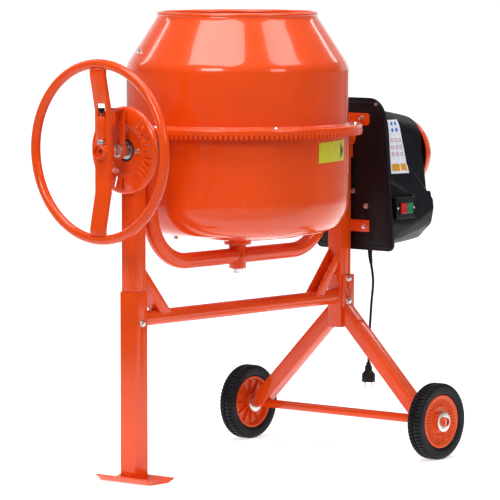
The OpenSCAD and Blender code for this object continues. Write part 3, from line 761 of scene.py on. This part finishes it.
stations = [(459.1, -0.2, 0), (459.1, 0.0, 0), (464.5, 0.0, 0), (466.3, -0.8, 0), (467.2, -2.6, 0), (468.2, -5.4, 0), (470.5, -6.4, 0)]
stations += [(470.5 + (NOSE - 8 - 470.5) * i / 34, -6.4 + 5.4 * smooth(0, 1, i / 34), 1) for i in range(1, 35)]
stations += [(NOSE - 4.5, -2.2, 1), (NOSE - 2.0, -3.8, 1), (NOSE - 0.6, -5.8, 1), (NOSE, -8.6, 1)]
rings = []
for x, o, bul in stations:
    t = share(x)
    base = cover_section(t, o)
    if x > NOSE - 8:
        # only the upper nose is rounded over; the lower part runs on
        keep = cover_section(t, -1.0)
        mixed = []
        for p, q in zip(base, keep):
            w = smooth(SHELF - 8, SHELF + 10, p[1])
            mixed.append((p[0] * w + q[0] * (1 - w), p[1] * w + q[1] * (1 - w)))
        base = mixed
    rings.append([(x, y - (cover_bulge(x, y, z) if bul else 0.0), z) for y, z in base])


def slope(x, y):
    return 15.0 * smooth(-104, -136, y) * (1 - smooth(NOSE, 640, x))


def clamp_ring(x, o, top):
    return [(x, y - cover_bulge(x, y, min(z, SHELF)), min(z, top + slope(x, y))) for y, z in cover_section(share(x), o)]


rings.append([(NOSE + 0.2, p[1], min(p[2], SHELF + slope(NOSE + 0.2, p[1]))) for p in rings[-1]])
rings.append([(NOSE + 0.4, p[1], p[2]) for p in clamp_ring(NOSE + 0.4, -1.0, SHELF - 0.4)])
for x, o in ((625, -0.8), (629, -0.6), (632, -1.0), (635, -2.4), (638, -5.0), (639.6, -8.5), (640.0, -13)):
    rings.append(clamp_ring(x, o, SHELF - 0.4 + min(0.0, o + 0.8)))
# the end wall under the shelf, 3 mm thick
for x, o, top in ((640.0, -13, 677.4), (637.0, -14, 676)):
    rings.append([(x, -35 + (y + 35) * 0.01, 635 + (min(z, top) - 635) * 0.01) for y, z in cover_section(share(x), o)])
for x, o, top in ((637, -14, 676), (NOSE, -9, 684), (NOSE - 6, -9, 900)):
    rings.append([(x, y, min(z, top)) for y, z in cover_section(share(x), o)])
for x, o in ((600, -9.5), (540, -9.5), (480, -10), (459.3, -10)):
    rings.append([(x, y, z) for y, z in cover_section(share(x), o)])
v, f = loop_grid(rings, close_rings=True)
piece("motor_cover", v, f, m_black, "frame", "black_plastic", ["housing_cover"], angle=32)

# raised bead inside the edge of the back plate
PC = [(-147, 566, 18), (-79, 908, 55), (47, 908, 55), (87, 566, 18)]
b = Build()
pts = outline(grow(PC, -13), 200)
v, f = tube([(453.0, y, z) for y, z in pts], 1.9, sides=8, closed=True)
b.add(v, f)
pts = outline(grow(PC, -1.6), 200)
v, f = tube([(453.4, y, z) for y, z in pts], 1.5, sides=8, closed=True)
b.add(v, f)
piece("back_plate_beads", b.v, b.f, m_black, "frame", "black_plastic")

# white film with plain dots on the cover's front side
_cache = {}


def cover_y(x, z):
    """The front side's y at (x, z), with the bulge."""
    key = round(x / 2.0)
    if key not in _cache:
        xx = key * 2.0
        _cache[key] = cover_section(share(xx), -6.4 + 5.4 * smooth(0, 1, (xx - 470.5) / (NOSE - 8 - 470.5)))
    pts = _cache[key]
    best = 0.0
    for p, q in zip(pts, pts[1:] + pts[:1]):
        if (p[1] - z) * (q[1] - z) <= 0 and p[1] != q[1]:
            best = min(best, p[0] + (q[0] - p[0]) * (z - p[1]) / (q[1] - p[1]))
    return best - cover_bulge(x, best, z)


def lab_pt(u, w, lift):
    """u across 0..1, w up 0..1 on the film, lifted off the wall."""
    x = (483.0 - 1.5 * w) * (1 - u) + (546 - 19.6 * w) * u
    z = 757 + 146 * w
    return (x, cover_y(x, z) - lift, z)


def slab(b, grid_fn, nu, nv, t0, t1, mi):
    v, f = [], []
    for lift in (t0, t1):
        for i in range(nv + 1):
            for j in range(nu + 1):
                v.append(grid_fn(j / nu, i / nv, lift))
    n = nu + 1
    k = n * (nv + 1)
    for i in range(nv):
        for j in range(nu):
            a = i * n + j
            f.append((a, a + n, a + n + 1, a + 1))
            f.append((k + a, k + a + 1, k + a + n + 1, k + a + n))
    m = nv + 1
    edge = [j for j in range(n)] + [i * n + n - 1 for i in range(1, m)] + [(m - 1) * n + j for j in range(n - 2, -1, -1)] + [i * n for i in range(m - 2, 0, -1)]
    for a, c in zip(edge, edge[1:] + edge[:1]):
        f.append((a, c, k + c, k + a))
    b.add(v, f, mi)


b = Build()
slab(b, lab_pt, 16, 30, 0.35, 0.75, 0)
H_, W_ = 146.0, 54.0


def dot(u0, w0, rad, mi, inner=None):
    n = 20
    v, f = [], []
    for lift in (0.75, 1.05):
        for rr in ((inner or 0.0), rad):
            for i in range(n):
                a = 2 * pi * i / n
                v.append(lab_pt(u0 + rr * cos(a) / W_, w0 + rr * sin(a) / H_, lift))
    for i in range(n):
        j = (i + 1) % n
        for q in ((0, 1), (3, 2)):
            f.append((q[0] * n + i, q[0] * n + j, q[1] * n + j, q[1] * n + i))
        f.append((n + i, n + j, 3 * n + j, 3 * n + i))
        if inner:
            f.append((i, j, 2 * n + j, 2 * n + i))
    if not inner:
        # closed disc: one fan each side
        v2, f2 = [], []
        for lift in (0.75, 1.05):
            v2 += [lab_pt(u0 + rad * cos(2 * pi * i / n) / W_, w0 + rad * sin(2 * pi * i / n) / H_, lift) for i in range(n)]
        f2.append(tuple(range(n)))
        f2.append(tuple(range(2 * n - 1, n - 1, -1)))
        for i in range(n):
            j = (i + 1) % n
            f2.append((i, j, n + j, n + i))
        v, f = v2, f2
    b.add(v, f, mi)


for w0 in (0.93, 0.81):
    for u0 in (0.32, 0.68):
        dot(u0, w0, 5.4, 1)
for w0 in (0.62, 0.49, 0.36):
    for u0 in (0.2, 0.5, 0.8):
        dot(u0, w0, 5.2, 2, inner=3.6)
for ua, ub in ((0.08, 0.55), (0.62, 0.93)):
    slab(b, lambda u, w, l, ua=ua, ub=ub: lab_pt(ua + (ub - ua) * u, 0.05 + 0.13 * w, l), 4, 3, 0.75, 1.05, 3)
piece("cover_film", b.v, b.f, m_white, "frame", "black_plastic", mats=[m_blue, m_ringred, m_amber], face_mat=b.mi, angle=50)

# switch: rubber frame round the buttons and two small screws
b = Build()


def frame_ring(x0, x1, z0, z1, y0, y1, wd, mi=0):
    """A rounded rectangular frame."""
    def rr(xa, xb, za, zb, rad, y):
        out = []
        for cx, cz, a0 in ((xb - rad, zb - rad, 0), (xa + rad, zb - rad, 90), (xa + rad, za + rad, 180), (xb - rad, za + rad, 270)):
            for k in range(5):
                a = math.radians(a0 + 22.5 * k)
                out.append((cx + rad * cos(a), y, cz + rad * sin(a)))
        return out
    rs = [rr(x0, x1, z0, z1, 4.0, y1), rr(x0, x1, z0, z1, 4.0, y0 + 0.6), rr(x0 + 0.6, x1 - 0.6, z0 + 0.6, z1 - 0.6, 3.6, y0),
          rr(x0 + wd - 0.5, x1 - wd + 0.5, z0 + wd - 0.5, z1 - wd + 0.5, 2.0, y0), rr(x0 + wd, x1 - wd, z0 + wd, z1 - wd, 1.8, y0 + 0.6),
          rr(x0 + wd, x1 - wd, z0 + wd, z1 - wd, 1.8, y1)]
    v, f = loop_grid(rs)
    b.add(v, f, mi)


frame_ring(484.9, 543.1, 644.5, 682.5, -163.0, -160.8, 3.2)
frame_ring(474.2, 552.2, 636.2, 692.8, -161.7, -160.8, 2.2)
for sx in (479.2, 547.8):
    A24 = [2 * pi * i / 24 for i in range(24)]
    secs = [(0.05, -160.9), (3.1, -160.9), (3.1, -161.9), (2.5, -162.6), (1.2, -162.9), (0.05, -162.9)]
    v, f = revolve(secs, A24, about_y(sx, 664.5))
    b.add(v, f, 1)
piece("switch_trim", b.v, b.f, m_black2, "frame", "black_plastic", mats=[m_zinc], face_mat=b.mi, angle=40)

# button caps with a domed, finger-shaped face
for nm, node, body, x0, mt, sl in (("stop_cap", "stop_button", "stop_button", 489.2, m_red, "red_button"),
                                   ("start_cap", "start_button", "start_button", 514.7, m_green, "green_button")):
    n1, n2 = 10, 12
    v, f = [], []
    for i in range(n2 + 1):
        for j in range(n1 + 1):
            u, w = j / n1, i / n2
            ex = min(u, 1 - u, w, 1 - w) * 2
            edge = smooth(0, 0.16, ex)
            dip = 0.9 * (1 - ((u - 0.5) ** 2 + (w - 0.5) ** 2) * 4)
            v.append((x0 + 24 * u, -164.6 - 1.4 * edge + max(0, dip) * edge, 649 + 29 * w))
    k = len(v)
    for i in range(n2 + 1):
        for j in range(n1 + 1):
            v.append((x0 + 24 * j / n1, -159.0, 649 + 29 * i / n2))
    n = n1 + 1
    for i in range(n2):
        for j in range(n1):
            a = i * n + j
            f.append((a, a + 1, a + n + 1, a + n))
            f.append((k + a, k + a + n, k + a + n + 1, k + a + 1))
    m = n2 + 1
    edge_i = [j for j in range(n)] + [i * n + n - 1 for i in range(1, m)] + [(m - 1) * n + j for j in range(n - 2, -1, -1)] + [i * n for i in range(m - 2, 0, -1)]
    for a, c in zip(edge_i, edge_i[1:] + edge_i[:1]):
        f.append((a, c, k + c, k + a))
    piece(nm, v, f, mt, body, sl, [node], angle=50)

# ------------------------------------------------------------------ weld beads
b = Build()
# cross tube to the sleeve and the motor post
for x in (PL + 24.75 + 0.8, PR - 22.5 - 0.8):
    weld(b, circle_path(44, lambda a, x=x: (x, 20.6 * cos(a), 420 + 20.6 * sin(a))), 2.4, True)
# braces to the posts and to the tube
for s, xw in ((1, PL + 22.5), (-1, PR - 22.5)):
    for y in (-18.6, 18.6):
        weld(b, [(xw + s * 0.6, y, 514), (xw + s * 0.6, y, 551)], 2.2)
        weld(b, [(xw + s * 68, y, 428.4), (xw + s * 104, y, 428.4)], 2.2)
    weld(b, [(xw + s * 0.6, -17, 513), (xw + s * 0.6, 17, 513)], 2.2)
    weld(b, [(xw + s * 104.6, -17 + 2 * i, 420 + sqrt(max(0, 20.3 ** 2 - (-17 + 2 * i) ** 2))) for i in range(18)], 2.2)
# sleeve to the foot
x0, x1 = PL - 24.75, PL + 24.75
weld(b, [(x0, -24.75, 4.6), (x1, -24.75, 4.6), (x1, 24.75, 4.6), (x0, 24.75, 4.6)], 2.6, True)
# legs to the bracket and the axle
for s in (-1, 1):
    weld(b, [(413, s * 26.6, 391), (448, s * 26.6, 391)], 2.0)
    weld(b, [(412.2, s * 25.5, 390), (412.2, s * 6, 390)], 2.0)
    for x in (411.4, 450.6):
        weld(b, [(x, s * 274, 98.2), (x, s * 294, 98.2)], 2.0)
        weld(b, [(x, s * 277, 107), (x, s * 295.5, 107)], 2.0)
    weld(b, [(430 + 12.6 * cos(a), s * 296.6, 103 + 12.6 * sin(a)) for a in [pi * i / 20 for i in range(0, 41)]], 2.0)
# bearing housings on the posts
for x in (PL, PR):
    for y in (-22.4, 22.4):
        weld(b, [(x - 22, y * 1.0, TILT - sqrt(30.6 ** 2 - y * y)), (x + 22, y, TILT - sqrt(30.6 ** 2 - y * y))], 2.2)
# the disc's ears
weld(b, [(-433.2, -20, 871.4), (-433.2, -50, 871.4)], 1.6)
weld(b, [(-433.2, 20, 871.4), (-433.2, 50, 871.4)], 1.6)
piece("frame_welds", b.v, b.f, m_orange, "frame", "orange_paint")

b = Build()
YL, YR = -345.0, 362.0
for x in (YL, YR):
    weld(b, circle_path(48, lambda a, x=x: (x + 21.6 * cos(a), 21.6 * sin(a), TILT - sqrt(max(1, 23.4 ** 2 - (21.6 * sin(a)) ** 2)))), 2.4, True)
for s in (-1, 1):
    weld(b, circle_path(44, lambda a, s=s: (s * sqrt(max(4, 23.6 ** 2 - (21.4 * cos(a)) ** 2)), 21.4 * cos(a), 559 + 21.4 * sin(a))), 2.3, True)
piece("yoke_welds", b.v, b.f, m_orange, "yoke", "orange_paint")

b = Build()
weld(b, circle_path(40, lambda a: (-526.2, 19.0 * cos(a), TILT + 19.0 * sin(a))), 2.0, True)
for s in (-1, 1):
    z = TILT + s * 211.0
    weld(b, [(-545.6, -22, z), (-545.6, 22, z)], 2.0)
    weld(b, [(-543, -24.2, z), (-536, -24.2, z)], 1.8)
    weld(b, [(-543, 24.2, z), (-536, 24.2, z)], 1.8)
weld(b, [(-525.9, -12.6, 893), (-525.9, -12.6, 942)], 1.5)
weld(b, [(-525.9, 12.6, 893), (-525.9, 12.6, 942)], 1.5)
piece("handwheel_welds", b.v, b.f, m_orange, "handwheel", "orange_paint")

b = Build()
weld(b, circle_path(60, lambda a: (37.4 * cos(a), 37.4 * sin(a), 600.4)), 2.2, True)
piece("drum_welds", b.v, b.f, m_orange, "drum", "orange_paint")

# ------------------------------------------------------------------ CAD nodes that stay: edges and finishes
finish = dict(
    left_post=(m_orange, 2.6, 3), leg_sleeve=(m_orange, 2.8, 3), foot_plate=(m_orange, 1.0, 2), cross_tube=(m_tube, 0.3, 1),
    gussets=(m_orange, 0.9, 2), right_post=(m_orange, 2.6, 3), bearing_housings=(m_orange, 0.7, 2), pivot_bushes=(m_nylon, 0.5, 2),
    wheel_bracket=(m_orange, 1.4, 2), front_leg=(m_orange, 2.4, 3), rear_leg=(m_orange, 2.4, 3), axle_tube=(m_tube, 0.4, 2),
    axle_washers=(m_zinc, 0.4, 2), cotter_pins=(m_zinc, 0.2, 1), frame_bolts=(m_zinc, 0.5, 2), index_disc=(m_orange, 0.35, 1),
    back_plate=(m_black, 0.8, 2), end_cover=(m_orange, 0.5, 2), mount_brackets=(m_orange, 0.8, 2), motor_body=(m_motor, 0.6, 1),
    capacitor=(m_alu, 0.6, 2), switch_box=(m_black2, 1.2, 3), cord_gland=(m_black2, 0.5, 2), drive_belt=(m_belt, 0.5, 1),
    yoke_tube=(m_tube, 0.3, 1), spindle_boss=(m_orange, 0.6, 2), spindle_bearings=(m_chrome, 0.3, 1), left_pivot_shaft=(m_steel, 0.5, 2),
    right_pivot_tube=(m_orange, 0.4, 2), shaft_bearings=(m_chrome, 0.3, 1), pivot_nut=(m_zinc, 0.5, 2), drive_arm=(m_orange, 0.9, 2),
    handwheel_strap=(m_orange, 0.8, 2), handwheel_hub=(m_orange, 0.6, 2), plunger_sleeve=(m_orange, 0.8, 2), plunger_nut=(m_zinc, 0.5, 2),
    plunger_pin=(m_chrome, 0.3, 1), plunger_knob=(m_black2, 1.0, 3), drum_bolts=(m_zinc, 0.4, 2), mixing_blades=(m_inside_shaded, 0.6, 1),
    drum_flange=(m_orange, 0.6, 2), drum_spindle=(m_steel, 0.5, 2), spindle_nut=(m_zinc, 0.5, 2), pinion=(m_iron, 0.3, 1),
    drive_shaft=(m_steel, 0.4, 2), large_pulley=(m_alu, 0.6, 2), small_pulley=(m_steel, 0.4, 2))
for name, (mt, w, seg) in finish.items():
    o = NODES[name]
    if o.hide_render:
        continue
    o.data.materials.clear()
    o.data.materials.append(mt)
    for p in o.data.polygons:
        p.use_smooth = True
        p.material_index = 0
    if "custom_normal" in o.data.attributes:
        o.data.attributes.remove(o.data.attributes["custom_normal"])
    wd = o.modifiers.new("join", "WELD")
    wd.merge_threshold = 0.00002
    bv = o.modifiers.new("edge", "BEVEL")
    bv.width = w / 1000
    bv.segments = seg
    bv.limit_method = "ANGLE"
    bv.angle_limit = math.radians(38)
    bv.use_clamp_overlap = True
    es = o.modifiers.new("split", "EDGE_SPLIT")
    es.split_angle = math.radians(36)
    es.use_edge_sharp = False

# ------------------------------------------------------------------ floor and light
bpy.ops.mesh.primitive_plane_add(size=80, location=(0, 0, -0.0005))
floor = bpy.context.object
floor.name = "floor"
fm_ = Mat("floor_painted_glow")
fsep = fm_.n("ShaderNodeSeparateXYZ")
fm_.link(fm_.tc.outputs["Object"], fsep.inputs[0])
FX, FY = -sin(math.radians(49)), -cos(math.radians(49))
dist = fm_.math("ADD", fm_.math("MULTIPLY", fsep.outputs[0], FX), fm_.math("MULTIPLY", fsep.outputs[1], FY))
side = fm_.math("ABSOLUTE", fm_.math("ADD", fm_.math("MULTIPLY", fsep.outputs[0], -FY), fm_.math("MULTIPLY", fsep.outputs[1], FX)))
# Painted light and shade on the floor: paler and glowing round the machine, greyer towards the camera.
painted_light_zone = fm_.rng(dist, 0.62, 1.05, 1.0, 0.0)
wide = fm_.rng(side, 3.6, 7.0, 1.0, 0.0)
c = fm_.mix(painted_light_zone, (0.62, 0.62, 0.625), (0.90, 0.90, 0.90))
c = fm_.mix(fm_.rng(fm_.noise(0.6, 2.0), 0.3, 0.7, 0, 0.03), c, (0.8, 0.8, 0.8))
fm_.link(c, fm_.b.inputs["Base Color"])
# painted glow: the floor emits light near the machine though it is no lamp
glow = fm_.math("MULTIPLY", painted_light_zone, wide)
far = fm_.rng(dist, -2.6, 0.3, 0.95, 0.50)
fm_.link(fm_.math("MULTIPLY", glow, far), fm_.b.inputs["Emission Strength"])
fm_.set(Roughness=0.9, Specular_IOR_Level=0.1, Emission_Color=(1, 1, 1, 1))
floor.data.materials.append(fm_.m)

world = bpy.data.worlds.new("studio")
scene.world = world
world.use_nodes = True
nt = world.node_tree
nt.nodes.clear()


def wn(kind, **kw):
    nd = nt.nodes.new(kind)
    for k, v in kw.items():
        setattr(nd, k, v)
    return nd


def wrng(src, a, b, lo, hi):
    nd = wn("ShaderNodeMapRange")
    for i, v in ((1, a), (2, b), (3, lo), (4, hi)):
        nd.inputs[i].default_value = v
    nt.links.new(src, nd.inputs[0])
    return nd.outputs[0]


def wmath(op, a, b):
    nd = wn("ShaderNodeMath", operation=op)
    for i, v in ((0, a), (1, b)):
        if isinstance(v, (int, float)):
            nd.inputs[i].default_value = v
        else:
            nt.links.new(v, nd.inputs[i])
    return nd.outputs[0]


wo = wn("ShaderNodeOutputWorld")
bg = wn("ShaderNodeBackground")
tcw = wn("ShaderNodeTexCoord")
sep = wn("ShaderNodeSeparateXYZ")
nt.links.new(tcw.outputs["Generated"], sep.inputs[0])
behind = wmath("ADD", wmath("MULTIPLY", sep.outputs[0], -FX), wmath("MULTIPLY", sep.outputs[1], -FY))
white = wrng(behind, 0.55, 0.9, 0.0, 1.0)
low = wrng(sep.outputs[2], 0.10, 0.45, 1.0, 0.0)
white = wmath("MULTIPLY", white, low)
sky = wrng(sep.outputs[2], 0.0, 0.7, 0.09, 0.30)
level = wmath("ADD", sky, wmath("MULTIPLY", white, 0.95))
nt.links.new(level, bg.inputs[1])
bg.inputs[0].default_value = (0.97, 0.985, 1.0, 1)
nt.links.new(bg.outputs[0], wo.inputs[0])


def area(name, az, el, dist, w, h, power, tgt=(0, 0, 0.75)):
    """A softbox: azimuth as for the camera, elevation in degrees, size in metres."""
    d = bpy.data.lights.new(name, "AREA")
    d.shape = "RECTANGLE"
    d.size, d.size_y = w, h
    d.energy = power
    o = bpy.data.objects.new(name, d)
    scene.collection.objects.link(o)
    a, el = math.radians(az), math.radians(el)
    T = Vector(tgt)
    o.location = T + Vector((sin(a) * cos(el), -cos(a) * cos(el), sin(el))) * dist
    o.rotation_euler = (T - o.location).to_track_quat("-Z", "Y").to_euler()
    return o


area("band_left", -83, 57, 3.2, 2.5, 1.3, 56, (0, 0, 1.1))
area("band_right", 17, 52, 3.2, 1.35, 1.3, 24, (0, 0, 1.1))
area("key_front", -76, 27, 4.2, 1.5, 1.1, 56, (0, 0, 0.7))
area("fill_right", -8, 22, 4.6, 1.2, 1.2, 26, (0, 0, 0.6))
area("top", -49, 88, 3.0, 1.6, 1.6, 30)
area("back_left", -172, 38, 4.0, 0.3, 2.0, 9)
area("back_right", 86, 38, 4.0, 0.35, 2.0, 9)

scene.view_settings.view_transform = "Standard"
scene.view_settings.look = "None"
